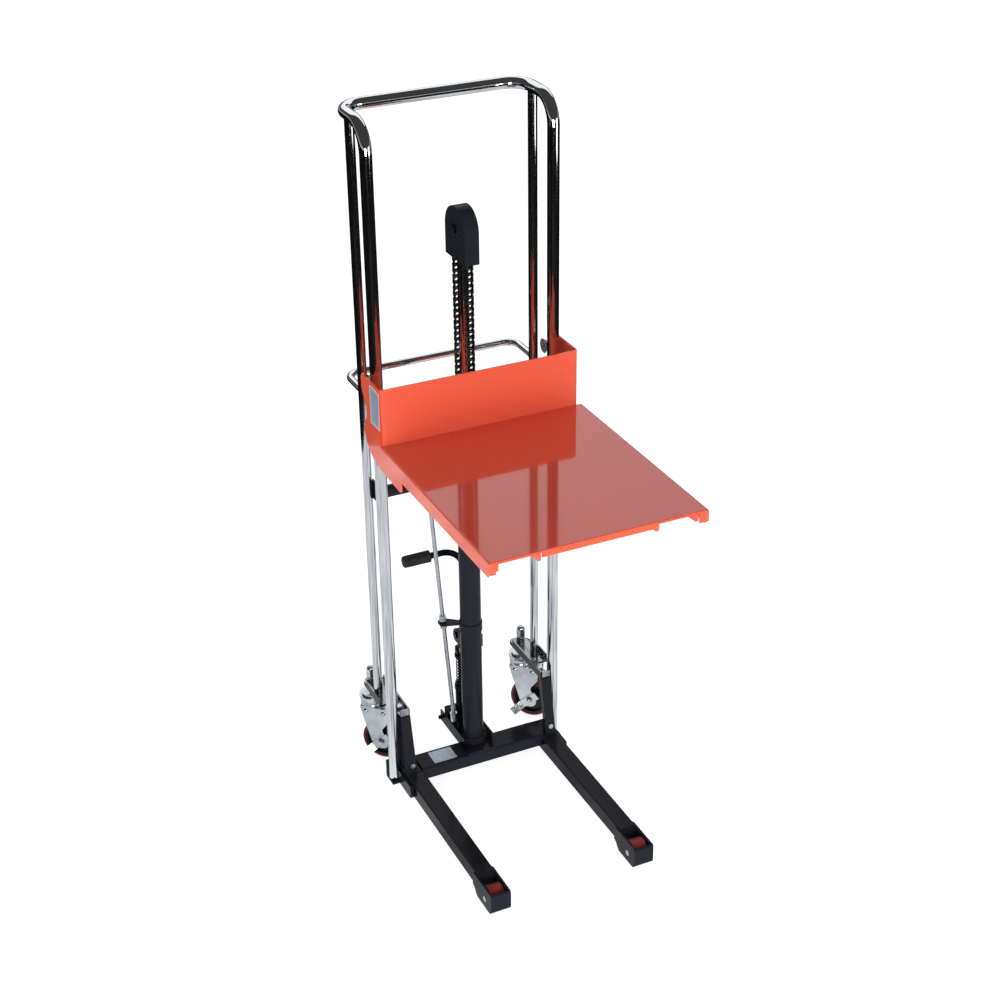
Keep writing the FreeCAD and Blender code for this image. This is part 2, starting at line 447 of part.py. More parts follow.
def cam():
    """The plate under the lever's hub, which pushes the roller down by the stroke over the swing."""
    reach = LEVER_Z - PUMP_ROLLER_Z
    rise = PUMP_STROKE / LEVER_SWING
    first, last, steps = math.radians(-8), LEVER_SWING + math.radians(4), 14
    hub = V(PUMP_X - 4, PUMP_Y, LEVER_Z)
    edge = []
    for i in range(steps + 1):
        angle = first + (last - first) * i / steps
        outward = V(0, math.sin(angle), -math.cos(angle))
        around = V(0, math.cos(angle), math.sin(angle))
        radius = reach + rise * angle
        normal = (outward * radius - around * rise).normalize()
        edge.append(hub + outward * radius - normal * (PUMP_ROLLER_R + CAM_GAP))
    profile = Part.BSplineCurve()
    profile.interpolate(edge)
    near, far = hub + (edge[0] - hub) * 0.2, hub + (edge[-1] - hub) * 0.2
    wire = Part.Wire([profile.toShape(), Part.makeLine(edge[-1], far), Part.makeLine(far, near),
                      Part.makeLine(near, edge[0])])
    return Part.Face(wire).extrude(V(8, 0, 0))


def release_point(z):
    foot_x, foot_y = RELEASE_FOOT
    return (foot_x + RELEASE_LEAN * (z - 150), foot_y, z)


def release():
    low = PUMP_BLOCK_TOP + 0.6
    stem = rod(RELEASE_R, release_point(low), release_point(RELEASE_TOP_Z))
    socket = rod(10, release_point(low + 2), release_point(low + 30))
    nuts = [hexagon(19, 10, release_point(z), V(RELEASE_LEAN, 0, 1))
            for z in (GUIDE_ARM_Z - 14, GUIDE_ARM_Z + 7.4, GUIDE_ARM_Z + 19)]
    add("release_rod", fuse(stem, socket, *nuts))
    tx, ty, tz = release_point(RELEASE_TOP_Z)
    handle = rod(9, (tx - 38, ty, tz + 9), (tx + 38, ty, tz + 9))
    add("release_handle", handle.makeFillet(3, [e for e in handle.Edges if len(e.Vertexes) == 1]))
    gx, gy, _ = release_point(GUIDE_ARM_Z + 3)
    guide = flat_plate(GUIDE_ARM_Z, GUIDE_ARM_Z + 6, [
        (gx - 14, gy - 14, 8), (-CYL_R + 4, gy - 30, 0), (-CYL_R + 12, gy - 14, 0),
        (gx + 12, gy + 14, 8), (gx - 14, gy + 14, 8)])
    guide = guide.cut(rod(CYL_R + 3, (0, CYL_Y, 400), (0, CYL_Y, 500)))
    add("rod_guide", guide.cut(rod(RELEASE_R + 1, release_point(440), release_point(500))))


# ---- carriage -------------------------------------------------------------------------------

def carriage():
    notch_x = LEG_IN - 8
    panel = front_plate(PANEL_Y, PANEL_Y + PANEL_T, [
        (-PANEL_HALF + 12, PANEL_TOP, 0), (-PANEL_HALF + 12, LEG_CLEAR_Z, 0), (-notch_x, LEG_CLEAR_Z, 0),
        (-notch_x, 1075, 6), (notch_x, 1075, 6), (notch_x, LEG_CLEAR_Z, 0),
        (PANEL_HALF - 12, LEG_CLEAR_Z, 0), (PANEL_HALF - 12, PANEL_TOP, 0)])
    side = [(PANEL_Y + 12, PANEL_TOP, 0), (PANEL_Y + 12, LEG_CLEAR_Z, 0), (-209, LEG_CLEAR_Z, 8),
            (-209, 1064, 6), (-80, 1067, 300), (-22, 1078, 60), (13, 1106, 30), (31, 1142, 18),
            (7, 1186, 18), (7, 1214, 18), (37, 1252, 22), (37, PANEL_TOP, 14)]
    plate = side_plate(PANEL_HALF - PANEL_T, PANEL_HALF, side)
    corner = tube(12, 12 - PANEL_T, (PANEL_HALF - 12, PANEL_Y + 12, LEG_CLEAR_Z),
                  (PANEL_HALF - 12, PANEL_Y + 12, PANEL_TOP))
    corner = corner.common(box(PANEL_HALF - 12, PANEL_HALF, PANEL_Y, PANEL_Y + 12, LEG_CLEAR_Z, PANEL_TOP))
    front = fuse(panel, plate, corner, mirror(plate), mirror(corner))
    add("carriage_plate", front)

    inside = PANEL_HALF - PANEL_T
    lower = box(-inside, inside, PANEL_Y + PANEL_T, -60, 1152, 1158)
    lower_lip = box(-inside, inside, -64, -60, 1158, 1180)
    upper = box(-inside, inside, PANEL_Y + PANEL_T, -60, 1276, 1282)
    upper_lip = box(-inside, inside, -64, -60, 1254, 1276)
    add("carriage_bars", fuse(lower, lower_lip).cut(front), fuse(upper, upper_lip).cut(front))

    front = CYL_Y - CHAIN_R
    base = box(-24, 24, PANEL_Y + PANEL_T, front + 7, BRACKET_Z, BRACKET_Z + 14)
    web = [box(x, x + 5, PANEL_Y + PANEL_T, -64, 1182, BRACKET_Z) for x in (-24, 19)]
    stud = rod(6, (0, front, BRACKET_Z - 16), (0, front, BRACKET_Z + 42))
    nut = rod(7, (0, front, BRACKET_Z - 8), (0, front, BRACKET_Z))
    lug = box(-7, 7, front - 6, front + 6, BRACKET_Z + 24, BRACKET_Z + 42)
    add("chain_bracket", fuse(base, *web, stud, nut, lug))

    low = DECK_TOP - DECK_T
    heel = PANEL_Y - 24
    nose, below = DECK_FRONT + 2, low - FORK_DEPTH - 1
    profile = [(PANEL_Y, low, 0), (PANEL_Y, low - 16, 0), (heel, low - 16, 0),
               (heel - 10, low - FORK_DEPTH, 8), (nose + 170, low - FORK_DEPTH, 60),
               (nose, low - 26, 8), (nose, low, 9)]
    skin = side_plate(FORK_IN, FORK_OUT, profile)
    inside, outside = FORK_IN + FORK_T, FORK_OUT - FORK_T
    void = box(inside, outside, nose - 9, PANEL_Y + 1, below, low - FORK_T)
    fork = skin.cut(void)
    add("fork_right", fork)
    add("fork_left", mirror(fork))

    deck_rear = PANEL_Y
    sheet = box(DECK_LEFT, DECK_RIGHT, DECK_FRONT, deck_rear, DECK_TOP - DECK_SKIRT, DECK_TOP)
    rounded = [e for e in sheet.Edges
               if (abs(e.tangentAt(0).y) > 0.9 or abs(e.tangentAt(0).x) > 0.9 and e.CenterOfMass.y < -700)
               and e.CenterOfMass.z > DECK_TOP - 1]
    sheet = sheet.makeFillet(4, rounded)
    under = box(DECK_LEFT + DECK_T, DECK_RIGHT - DECK_T, DECK_FRONT + DECK_T, deck_rear + 1, 1000, low)
    inner, outer = FORK_IN - 2, FORK_OUT + 2
    lips = ((DECK_LEFT - 1, -outer, 32), (-outer, -inner, DECK_T + 1), (-inner, inner, DECK_LIP),
            (inner, outer, DECK_T + 1), (outer, DECK_RIGHT + 1, 32))
    cuts = [box(x0, x1, DECK_FRONT - 1, DECK_FRONT + 10, 1000, DECK_TOP - depth) for x0, x1, depth in lips]
    add("deck", sheet.cut(under).cut(Part.makeCompound(cuts)))

    guide_x = PANEL_HALF - PANEL_T
    axles = []
    for y, z in ((GUIDE_Y, GUIDE_TOP_Z), (-GUIDE_Y, GUIDE_LOW_Z)):
        axle = fuse(rod(7, (POST_X - GUIDE_HALF - 0.5, y, z), (guide_x, y, z)),
                    rod(11, (POST_X + GUIDE_HALF + GAP, y, z), (guide_x, y, z)))
        axles += both(axle)
    add("roller_axles", *axles)
    for level, y, z in (("top", GUIDE_Y, GUIDE_TOP_Z), ("low", -GUIDE_Y, GUIDE_LOW_Z)):
        roller = rod(GUIDE_R, (POST_X - GUIDE_HALF, y, z), (POST_X + GUIDE_HALF, y, z))
        groove = Part.makeTorus(GUIDE_Y, GUIDE_GROOVE, V(POST_X, y, z), X)
        roller = roller.cut(groove).cut(rod(7 + FIT, (0, y, z), (400, y, z)))
        add("guide_roller_" + level + "_right", roller)
        add("guide_roller_" + level + "_left", mirror(roller))

    label = side_plate(-PANEL_HALF - 0.6, -PANEL_HALF, [(-84, 1180, 3), (-22, 1180, 3),
                                                        (-22, 1286, 3), (-84, 1286, 3)])
    add("carriage_label", label)


mast()
base()
caster("left")
caster("right")
kingpins()
hydraulics()
pump()
release()
carriage()

os.makedirs("parts", exist_ok=True)
low, high = V(1e9, 1e9, 1e9), V(-1e9, -1e9, -1e9)
for name, solids in nodes.items():
    shape = to_frame(Part.Compound(solids) if len(solids) > 1 else solids[0])
    shape.exportStep("parts/" + name + ".step")
    bounds = shape.BoundBox
    low = V(min(low.x, bounds.XMin), min(low.y, bounds.YMin), min(low.z, bounds.ZMin))
    high = V(max(high.x, bounds.XMax), max(high.y, bounds.YMax), max(high.z, bounds.ZMax))
    if not shape.isValid() or not solids:
        print("not valid:", name)
print(len(nodes), "nodes, from", low, "to", high)
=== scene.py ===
import bmesh
import bpy
import json
import math
from mathutils import Matrix, Vector


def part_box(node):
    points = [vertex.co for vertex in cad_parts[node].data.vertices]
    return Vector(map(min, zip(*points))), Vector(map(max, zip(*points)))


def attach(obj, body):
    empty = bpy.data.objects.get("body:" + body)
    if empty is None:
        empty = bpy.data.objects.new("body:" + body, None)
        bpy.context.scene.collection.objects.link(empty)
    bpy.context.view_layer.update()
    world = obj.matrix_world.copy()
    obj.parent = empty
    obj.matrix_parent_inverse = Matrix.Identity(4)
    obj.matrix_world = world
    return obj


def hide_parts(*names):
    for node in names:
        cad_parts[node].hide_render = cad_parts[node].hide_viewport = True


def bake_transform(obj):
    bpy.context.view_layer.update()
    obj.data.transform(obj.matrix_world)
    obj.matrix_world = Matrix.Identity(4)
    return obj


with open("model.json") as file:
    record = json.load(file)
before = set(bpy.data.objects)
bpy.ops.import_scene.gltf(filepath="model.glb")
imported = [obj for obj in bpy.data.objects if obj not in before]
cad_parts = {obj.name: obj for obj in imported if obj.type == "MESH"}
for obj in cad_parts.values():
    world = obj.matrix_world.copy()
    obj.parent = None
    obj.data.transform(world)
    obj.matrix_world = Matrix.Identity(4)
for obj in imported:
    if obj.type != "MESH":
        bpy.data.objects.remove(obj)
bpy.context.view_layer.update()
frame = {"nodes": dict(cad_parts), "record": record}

# The frame's origin is under the middle of the machine; the mast's centre stands at MAST.
post_low, post_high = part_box("mast_loop")
MAST_X = (post_low.x + post_high.x) / 2
POST_R = 0.016
MAST_Y = post_low.y + POST_R


def at(x, y, z):
    """A point given in millimetres from the mast's centre, as in the part's source."""
    return Vector((MAST_X + x / 1000, MAST_Y + y / 1000, z / 1000))


# ---- node helpers ---------------------------------------------------------------------------

class Graph:
    """A material's nodes, added with as little fuss as possible."""

    def __init__(self, name):
        self.material = bpy.data.materials.new(name)
        self.material.use_nodes = True
        self.tree = self.material.node_tree
        self.shader = self.tree.nodes["Principled BSDF"]

    def add(self, kind, **settings):
        node = self.tree.nodes.new(kind)
        for key, value in settings.items():
            if key in node.inputs:
                node.inputs[key].default_value = value
            else:
                setattr(node, key, value)
        return node

    def link(self, source, target):
        self.tree.links.new(source, target)

    def place(self, scale=(1, 1, 1)):
        """Object coordinates, stretched."""
        coords = self.add("ShaderNodeTexCoord")
        mapping = self.add("ShaderNodeMapping")
        mapping.inputs["Scale"].default_value = scale
        self.link(coords.outputs["Object"], mapping.inputs["Vector"])
        return mapping.outputs["Vector"]

    def noise(self, scale, detail=4.0, rough=0.55, stretch=(1, 1, 1)):
        node = self.add("ShaderNodeTexNoise", Scale=scale, Detail=detail, Roughness=rough)
        self.link(self.place(stretch), node.inputs["Vector"])
        return node.outputs["Fac"]

    def ramp(self, source, stops):
        node = self.add("ShaderNodeValToRGB")
        elements = node.color_ramp.elements
        for i, (where, colour) in enumerate(stops):
            element = elements[i] if i < 2 else elements.new(where)
            element.position = where
            element.color = (*colour, 1) if len(colour) == 3 else colour
        self.link(source, node.inputs["Fac"])
        return node.outputs["Color"]

    def span(self, source, low, high, start=0.0, end=1.0):
        node = self.add("ShaderNodeMapRange")
        for key, value in (("From Min", start), ("From Max", end), ("To Min", low), ("To Max", high)):
            node.inputs[key].default_value = value
        self.link(source, node.inputs["Value"])
        return node.outputs["Result"]

    def bump(self, height, strength, distance):
        node = self.add("ShaderNodeBump", Strength=strength, Distance=distance)
        self.link(height, node.inputs["Height"])
        return node.outputs["Normal"]

    def blend(self, factor, first, second):
        """first where factor is 0, second where it is 1; each a socket or a colour."""
        node = self.add("ShaderNodeMix", data_type="RGBA")
        self.link(factor, node.inputs[0])
        for slot, value in ((6, first), (7, second)):
            if isinstance(value, tuple):
                node.inputs[slot].default_value = (*value, 1)
            else:
                self.link(value, node.inputs[slot])
        return node.outputs[2]

    def math(self, operation, first, second=None):
        node = self.add("ShaderNodeMath", operation=operation)
        for slot, value in ((0, first), (1, second)):
            if isinstance(value, (int, float)):
                node.inputs[slot].default_value = value
            elif value is not None:
                self.link(value, node.inputs[slot])
        return node.outputs[0]

    def axis(self, name):
        """One of the object's own coordinates, in metres."""
        coords = self.add("ShaderNodeTexCoord")
        split = self.add("ShaderNodeSeparateXYZ")
        self.link(coords.outputs["Object"], split.inputs[0])
        return split.outputs[name]

    def inside(self, value, low, high):
        """1 between low and high, 0 elsewhere."""
        above, below = self.math("GREATER_THAN", value, low), self.math("LESS_THAN", value, high)
        return self.math("MULTIPLY", above, below)

    def edge_highlight(self):
        """1 on convex edges and 0 elsewhere: the mask for the painted edge highlight."""
        geometry = self.add("ShaderNodeNewGeometry")
        return self.span(geometry.outputs["Pointiness"], 0.0, 1.0, 0.52, 0.60)

    def set(self, **values):
        names = {"base": "Base Color", "metal": "Metallic", "rough": "Roughness", "normal": "Normal",
                 "coat": "Coat Weight", "coat_rough": "Coat Roughness", "specular": "Specular IOR Level"}
        for key, value in values.items():
            socket = self.shader.inputs[names[key]]
            if isinstance(value, bpy.types.NodeSocket):
                self.link(value, socket)
            else:
                socket.default_value = (*value, 1) if isinstance(value, tuple) else value


# ---- materials ------------------------------------------------------------------------------

def chrome():
    g = Graph("chromed_steel")
    smear = g.noise(9, 5, 0.6, (1, 1, 0.25))
    pits = g.noise(60, 2)
    g.set(base=g.ramp(smear, [(0.3, (0.74, 0.76, 0.79)), (0.7, (0.86, 0.87, 0.88))]), metal=1.0,
          rough=g.span(smear, 0.03, 0.09), normal=g.bump(pits, 0.03, 0.0002))
    return g.material


def enamel(name, dark, light, rough_low, rough_high, edge_highlight_colour, gloss, coat):
    """Glossy paint with orange peel and faint dust, lighter on convex edges as a painted highlight."""
    g = Graph(name)
    cloud = g.noise(6, 5, 0.6)
    dust = g.noise(38, 6, 0.7)
    peel = g.noise(420, 2, 0.5)
    body = g.ramp(cloud, [(0.3, dark), (0.7, light)])
    # convex edges are blended towards the lighter edge colour: a painted highlight
    g.set(base=g.blend(g.edge_highlight(), body, edge_highlight_colour), rough=g.span(dust, rough_low, rough_high, 0.35, 0.75),
          normal=g.bump(peel, 0.05, 0.0003), coat=coat, coat_rough=0.02, specular=gloss)
    return g.material


def orange_paint():
    # the last colour is the painted highlight on convex edges
    return enamel("orange_paint", (0.80, 0.056, 0.029), (0.86, 0.064, 0.034), 0.05, 0.12,
                  (0.90, 0.13, 0.07), 0.45, 0.45)


def black_paint():
    # the last colour is the painted highlight on convex edges
    return enamel("black_paint", (0.0020, 0.0026, 0.0040), (0.0036, 0.0044, 0.0065), 0.10, 0.24,
                  (0.016, 0.018, 0.024), 0.06, 0.04)


def tray_steel():
    """Bare brushed steel inside the channel and black paint outside; a thin bare steel strip along the rim
    top is a painted highlight.
    """
    g = Graph("tray_steel")
    low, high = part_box("caster_trays")
    middle, inner_half = 0.235, 0.0262
    brush = g.noise(40, 6, 0.7, (1, 0.08, 1))
    centred = g.math("ABSOLUTE", g.math("SUBTRACT", g.axis("X"), MAST_X))
    from_middle = g.math("ABSOLUTE", g.math("SUBTRACT", centred, middle))
    between = g.math("LESS_THAN", from_middle, inner_half)
    floor = g.math("MULTIPLY", between, g.math("GREATER_THAN", g.axis("Z"), low.z + 0.0062))
    # the top 0.8 mm of the rim is bare steel: a painted highlight along the flange tops
    steel_and_rim_highlight = g.math("MAXIMUM", floor, g.math("GREATER_THAN", g.axis("Z"), high.z - 0.0008))
    steel = g.ramp(brush, [(0.3, (0.16, 0.165, 0.18)), (0.72, (0.55, 0.57, 0.60))])
    g.set(base=g.blend(steel_and_rim_highlight, (0.004, 0.005, 0.007), steel), metal=steel_and_rim_highlight, rough=g.span(brush, 0.10, 0.26),
          normal=g.bump(brush, 0.12, 0.0005), specular=0.15)
    return g.material


def zinc(name, dark, light, low, high):
    g = Graph(name)
    spangle = g.add("ShaderNodeTexVoronoi", Scale=160)
    g.link(g.place(), spangle.inputs["Vector"])
    cloud = g.noise(30, 5, 0.65)
    g.set(base=g.ramp(cloud, [(0.28, dark), (0.75, light)]), metal=1.0,
          rough=g.span(spangle.outputs["Distance"], low, high), normal=g.bump(cloud, 0.08, 0.0004))
    return g.material


def moulded(name, dark, light, low, high, grain, depth):
    """Moulded rubber, polyurethane or plastic."""
    g = Graph(name)
    cloud = g.noise(35, 5, 0.6)
    pores = g.noise(grain, 3, 0.6)
    g.set(base=g.ramp(cloud, [(0.3, dark), (0.72, light)]), rough=g.span(pores, low, high, 0.3, 0.7),
          normal=g.bump(pores, depth, 0.0005), specular=0.3)
    return g.material


def foil_label():
    """Brushed foil; the carriage's label also has a pale border and rows of fine plain bars."""
    g = Graph("label_silver")
    brush = g.noise(90, 4, 0.6, (1, 1, 0.1))
    foil = g.ramp(brush, [(0.3, (0.36, 0.45, 0.55)), (0.7, (0.50, 0.58, 0.67))])
    low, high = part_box("carriage_label")
    y, z = g.axis("Y"), g.axis("Z")
    rim, inset, pitch = 0.0035, 0.011, 0.0085
    on_carriage = g.math("GREATER_THAN", z, low.z - 0.001)
    field = g.math("MULTIPLY", g.inside(y, low.y + rim, high.y - rim), g.inside(z, low.z + rim, high.z - rim))
    border = g.math("MULTIPLY", on_carriage, g.math("SUBTRACT", 1.0, field))
    phase = g.math("FRACT", g.math("DIVIDE", z, pitch))
    row = g.math("FLOOR", g.math("DIVIDE", z, pitch))
    length = g.math("FRACT", g.math("MULTIPLY", row, 0.37))
    finish = g.math("SUBTRACT", high.y - inset, g.math("MULTIPLY", length, 0.022))
    begun, unfinished = g.math("GREATER_THAN", y, low.y + inset), g.math("LESS_THAN", y, finish)
    bars = g.math("MULTIPLY", g.inside(phase, 0.4, 0.62), g.math("MULTIPLY", begun, unfinished))
    bars = g.math("MULTIPLY", bars, g.inside(z, low.z + inset, high.z - inset))
    printed = g.blend(bars, g.blend(border, foil, (0.80, 0.86, 0.90)), (0.10, 0.16, 0.24))
    g.set(base=printed, metal=0.35, rough=g.span(brush, 0.28, 0.42), normal=g.bump(brush, 0.05, 0.0002))
    return g.material


MATERIALS = {
    "chromed_steel": chrome(),
    "orange_paint": orange_paint(),
    "black_paint": black_paint(),
    "tray_steel": tray_steel(),
    "zinc_steel": zinc("zinc_steel", (0.50, 0.54, 0.58), (0.78, 0.81, 0.84), 0.16, 0.34),
    "guide_steel": zinc("guide_steel", (0.55, 0.56, 0.58), (0.80, 0.81, 0.83), 0.22, 0.38),
    "chain_steel": zinc("chain_steel", (0.035, 0.035, 0.04), (0.12, 0.12, 0.13), 0.18, 0.40),
    "spring_steel": zinc("spring_steel", (0.04, 0.04, 0.045), (0.11, 0.11, 0.12), 0.22, 0.40),
    "tyre_red": moulded("tyre_red", (0.11, 0.006, 0.009), (0.19, 0.011, 0.015), 0.28, 0.5, 320, 0.15),
    "roller_red": moulded("roller_red", (0.16, 0.009, 0.011), (0.30, 0.03, 0.03), 0.35, 0.6, 240, 0.25),
    "wheel_core": moulded("wheel_core", (0.004, 0.004, 0.005), (0.008, 0.008, 0.009), 0.3, 0.5, 300, 0.1),
    "grip_rubber": moulded("grip_rubber", (0.010, 0.010, 0.011), (0.024, 0.024, 0.025), 0.45, 0.7, 500, 0.3),
    "label_silver": foil_label(),
}


def dress(obj, name):
    obj.data.materials.clear()
    obj.data.materials.append(MATERIALS[name])


for part in frame["record"]["subparts"]:
    dress(frame["nodes"][part["node"]], part["material_slot"])


# ---- mesh helpers: everything below is in millimetres from the mast's centre ----------------------

class Solid:
    """A mesh gathered from prisms, lathed and swept forms."""

    def __init__(self):
        self.mesh = bmesh.new()

    def ring(self, centre, across, upward, radius, count):
        return [self.mesh.verts.new(centre + across * (radius * math.cos(2 * math.pi * i / count))
                                    + upward * (radius * math.sin(2 * math.pi * i / count)))
                for i in range(count)]

    def bridge(self, first, second, smooth=True):
        for i in range(len(first)):
            j = (i + 1) % len(first)
            face = self.mesh.faces.new((first[i], first[j], second[j], second[i]))
            face.smooth = smooth

    def prism(self, points, offset):
        near = [self.mesh.verts.new(p) for p in points]
        far = [self.mesh.verts.new(p + offset) for p in points]
        self.mesh.faces.new(near[::-1])
        self.mesh.faces.new(far)
        self.bridge(near, far, smooth=False)

    def lathe(self, origin, axis, profile, count=32):
        """Turns (distance along, radius) points about an axis; ends with a radius are capped."""
        axis = Vector(axis).normalized()
        across = axis.orthogonal().normalized()
        upward = axis.cross(across)
        rings = [self.ring(Vector(origin) + axis * along, across, upward, max(radius, 0.02), count)
                 for along, radius in profile]
        for i in range(len(rings) - 1):
            self.bridge(rings[i], rings[i + 1])
        self.mesh.faces.new(rings[0][::-1])
        self.mesh.faces.new(rings[-1])

    def sweep(self, path, radius, count=16):
        """A round section along a list of points; radius may be a function of the index."""
        rings, upward = [], None
        for i, point in enumerate(path):
            before, after = path[max(i - 1, 0)], path[min(i + 1, len(path) - 1)]
            along = (after - before).normalized()
            if upward is None:
                upward = along.orthogonal().normalized()
            across = along.cross(upward).normalized()
            upward = across.cross(along).normalized()
            size = radius(i) if callable(radius) else radius
            rings.append(self.ring(point, across, upward, size, count))
        for i in range(len(rings) - 1):
            self.bridge(rings[i], rings[i + 1])
        self.mesh.faces.new(rings[0][::-1])
        self.mesh.faces.new(rings[-1])

    def piece(self, name, material):
        bmesh.ops.recalc_face_normals(self.mesh, faces=self.mesh.faces)
        mesh = bpy.data.meshes.new(name)
        for vert in self.mesh.verts:
            vert.co = at(*vert.co)
        self.mesh.to_mesh(mesh)
        self.mesh.free()
        obj = bpy.data.objects.new(name, mesh)
        mesh.materials.append(MATERIALS[material])
        bpy.context.collection.objects.link(obj)
        return obj


# ---- roller chain -----------------------------------------------------------------------------

CHAIN_Y, PULLEY_Z, CHAIN_R = 10.0, 1645.0, 41.0
CHAIN_PITCH, PLATE_R, PLATE_WAIST, PLATE_T = 15.875, 7.3, 5.3, 1.9
ROLLER_R, PIN_R = 5.0, 2.5


def link_plate(solid, first, second, x, thickness):
    along = (second - first).normalized()
    across = Vector((0, -along.z, along.y))
    outline = []
    for centre, turn in ((first, math.pi / 2), (second, -math.pi / 2)):
        for i in range(9):
            angle = turn + math.pi * i / 8
            outline.append(centre + PLATE_R * (along * math.cos(angle) + across * math.sin(angle)))
        side = -1 if turn > 0 else 1
        outline.append((first + second) / 2 + across * (side * PLATE_WAIST))
    solid.prism([p + Vector((x, 0, 0)) for p in outline], Vector((thickness, 0, 0)))


def chain(name, pins):
    """Inner and outer links by turns, with a roller and a pin at each joint."""
    solid = Solid()
    for i in range(len(pins) - 1):
        wide = i % 2
        for x in ((6.7, -8.6) if wide else (4.7, -6.6)):
            link_plate(solid, pins[i], pins[i + 1], x, PLATE_T)
    for pin in pins:
        solid.lathe(pin - Vector((4.6, 0, 0)), (1, 0, 0), [(0, ROLLER_R), (9.2, ROLLER_R)], 14)
        riveted = [(0, 1.6), (0.7, PIN_R), (18.1, PIN_R), (18.8, 1.6)]
        solid.lathe(pin - Vector((9.4, 0, 0)), (1, 0, 0), riveted, 12)
    return solid.piece(name, "chain_steel")


def strand_pins(y, low, high):
    count = round((high - low) / CHAIN_PITCH)
    return [Vector((0, y, low + (high - low) * i / count)) for i in range(count + 1)]


def make_chain():
    ends = {"chain_front": (CHAIN_Y - CHAIN_R, 1256.0, "carriage"),
            "chain_rear": (CHAIN_Y + CHAIN_R, 742.0, "base_frame")}
    for name, (y, low, body) in ends.items():
        strand = chain(name + "_links", strand_pins(y, low, PULLEY_Z))
        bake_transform(strand)
        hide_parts(name)
    count = 8
    arc = [Vector((0, CHAIN_Y - CHAIN_R * math.cos(math.pi * i / count),
                   PULLEY_Z + CHAIN_R * math.sin(math.pi * i / count))) for i in range(count + 1)]
    wrap = chain("chain_wrap_links", arc)
    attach(wrap, "lift_rod")
    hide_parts("chain_wrap")


# ---- pump details -----------------------------------------------------------------------------

PUMP = (5.0, 100.0)
LEVER_TOP_Z, GRIP_END_X, GRIP_LEN = 670.0, -161.0, 80.0


def make_spring():
    """The plunger's return spring, with flat end turns."""
    low, high, turns, wire, coil_r = 227.7, 312.3, 9.5, 1.8, 12.6
    solid = Solid()
    path = []
    steps = int(turns * 24)
    for i in range(steps + 1):
        share = i / steps
        rise = min(max((share - 0.07) / 0.86, 0), 1)
        angle = 2 * math.pi * turns * share
        path.append(Vector((PUMP[0] + coil_r * math.cos(angle), PUMP[1] + coil_r * math.sin(angle),
                            low + (high - low) * rise)))
    solid.sweep(path, wire, 10)
    spring = solid.piece("plunger_spring_coil", "spring_steel")
    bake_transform(spring)
    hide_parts("plunger_spring")


def make_grip():
    """Ribbed rubber sleeve with a collar at its inner end and a rounded cap."""
    profile = [(0, 7), (0.6, 12), (2.5, 15.8), (5, 16.8), (9, 16.8)]
    ribs, start, pitch = 12, 10.0, 5.2
    for i in range(ribs):
        x = start + pitch * i
        profile += [(x, 16.4), (x + 0.5, 15.2), (x + 1.3, 15.2), (x + 1.8, 17.2), (x + 4.4, 17.2)]
    profile += [(73.5, 16.2), (74, 17.4), (79.4, 17.4), (GRIP_LEN, 16.6), (GRIP_LEN, 9.4)]
    solid = Solid()
    solid.lathe((GRIP_END_X, PUMP[1], LEVER_TOP_Z), (1, 0, 0), profile, 40)
    grip = solid.piece("lever_grip_sleeve", "grip_rubber")
    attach(grip, "pump_lever")
    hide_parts("lever_grip")


# ---- welds, threads and caster details -----------------------------------------------------------

SWIVEL, KINGPIN = math.radians(-45), Vector((240, 186, 0))


def bead(solid, start, end, radius=2.2):
    """A weld bead with its ripples."""
    start, end = Vector(start), Vector(end)
    count = max(8, int((end - start).length / 1.3))
    path = [start.lerp(end, i / count) for i in range(count + 1)]
    solid.sweep(path, lambda i: radius * (0.5 if i in (0, count) else 1 + 0.16 * math.sin(i * 2.1)), 8)


def make_welds():
    """Beads round the crossbeam's ends, the uprights and the forks."""
    leg_in, leg_top, beam_front, beam_back = 187, 74, -58, 17
    foot_z, tray_z = leg_top + 1, 244
    solid = Solid()
    for side in (-1, 1):
        for y in (beam_front, beam_back):
            bead(solid, (side * leg_in, y, 42), (side * leg_in, y, leg_top - 1))
            bead(solid, (side * leg_in, y, leg_top), (side * (leg_in + 49), y, leg_top), 1.6)
        bead(solid, (side * 207, beam_front + 1, foot_z), (side * 233, beam_front + 1, foot_z))
        for x in (204.6, 234.4):
            bead(solid, (side * x, -54, foot_z), (side * x, -36, foot_z))
        bead(solid, (side * 208, -20.5, tray_z), (side * 232, -20.5, tray_z), 1.4)
    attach(solid.piece("weld_beads", "black_paint"), "base_frame")

    seams = Solid()
    for side in (-1, 1):
        bead(seams, (side * 182, -96.6, 1129), (side * 182, -96.6, 1140), 1.2)
    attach(seams.piece("carriage_welds", "orange_paint"), "carriage")


def make_kingpin_details():
    """Threads on the kingpins' stems and a domed nut on top."""
    stem_r, pitch, dome_z, dome_r, dome_rise = 7.0, 1.8, 293, 11.2, 8.6
    steps = [math.radians(9 * k) for k in range(1, 10)]
    solid = Solid()
    for side in (-1, 1):
        profile = []
        z = 264.4
        while z < 267:
            profile += [(z, stem_r), (z + pitch / 2, stem_r + pitch / 2)]
            z += pitch
        solid.lathe((side * KINGPIN.x, KINGPIN.y, 0), (0, 0, 1), profile, 24)
        dome = [(dome_z, dome_r + 0.2)]
        dome += [(dome_z + dome_rise * math.sin(a), dome_r * math.cos(a)) for a in steps]
        solid.lathe((side * KINGPIN.x, KINGPIN.y, 0), (0, 0, 1), dome, 32)
    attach(solid.piece("kingpin_caps", "zinc_steel"), "base_frame")


def on_caster(side, x, y, z):
    """A point of the caster, whose kingpin is the Z axis and whose wheel trails to +X."""
    turned = Matrix.Rotation(SWIVEL, 3, "Z") @ Vector((x, y, z))
    return turned + Vector((side * KINGPIN.x, KINGPIN.y, 0))


